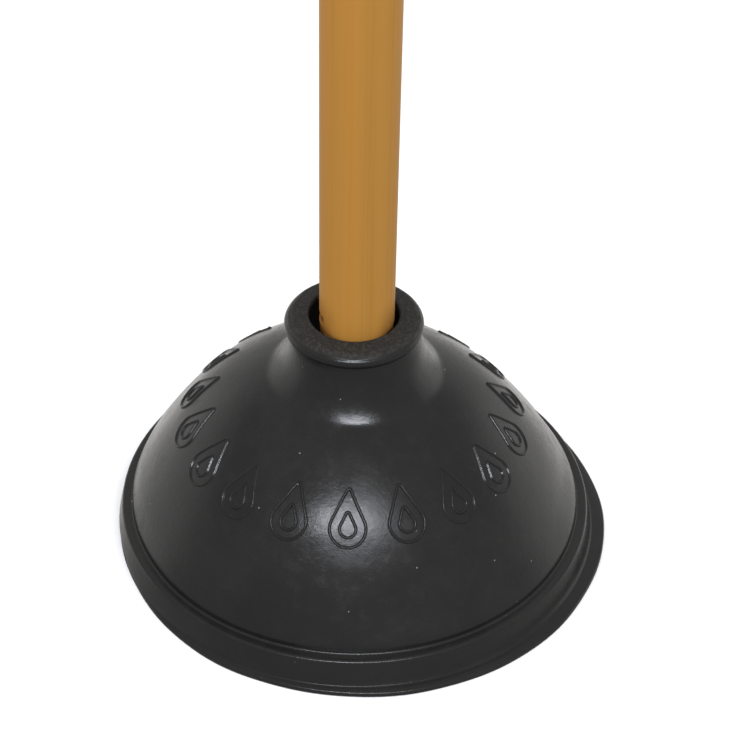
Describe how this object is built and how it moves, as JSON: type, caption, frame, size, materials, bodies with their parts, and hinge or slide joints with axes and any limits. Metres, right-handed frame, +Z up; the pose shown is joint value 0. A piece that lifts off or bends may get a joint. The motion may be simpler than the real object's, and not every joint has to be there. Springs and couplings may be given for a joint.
{
  "type": "sink plunger",
  "caption": "Sink plunger: a soft bell-shaped rubber force cup with a thin sealing flange, on a long straight wooden handle that screws into its neck.",
  "frame": {"origin": "middle of the plane that the cup's rim stands on", "axes": "+Z up the handle; the part is round about Z, apart from its thread and its ring of raised drops"},
  "size_m": [0.1524, 0.1524, 0.5299],
  "materials": {
    "rubber": "satin moulded",
    "wood": "satin lacquer"
  },
  "bodies": {
    "cup": {"sealing_lip": "rubber", "bell": "rubber"},
    "neck": {"collar": "rubber"},
    "handle": {"handle": "wood"}
  },
  "joints": [
    {"name": "pump_stroke", "type": "slide", "parent": "cup", "child": "neck", "axis": [0, 0, -1], "range_m": [0, 0.03], "stiffness_N_per_m": 2000, "springref_m": -0.002, "deforming": ["bell"]},
    {"name": "handle_unscrew", "type": "hinge", "parent": "neck", "child": "handle", "pos_m": [0, 0, 0.06], "axis": [0, 0, 1], "range_deg": [0, 1440]}
  ]
}
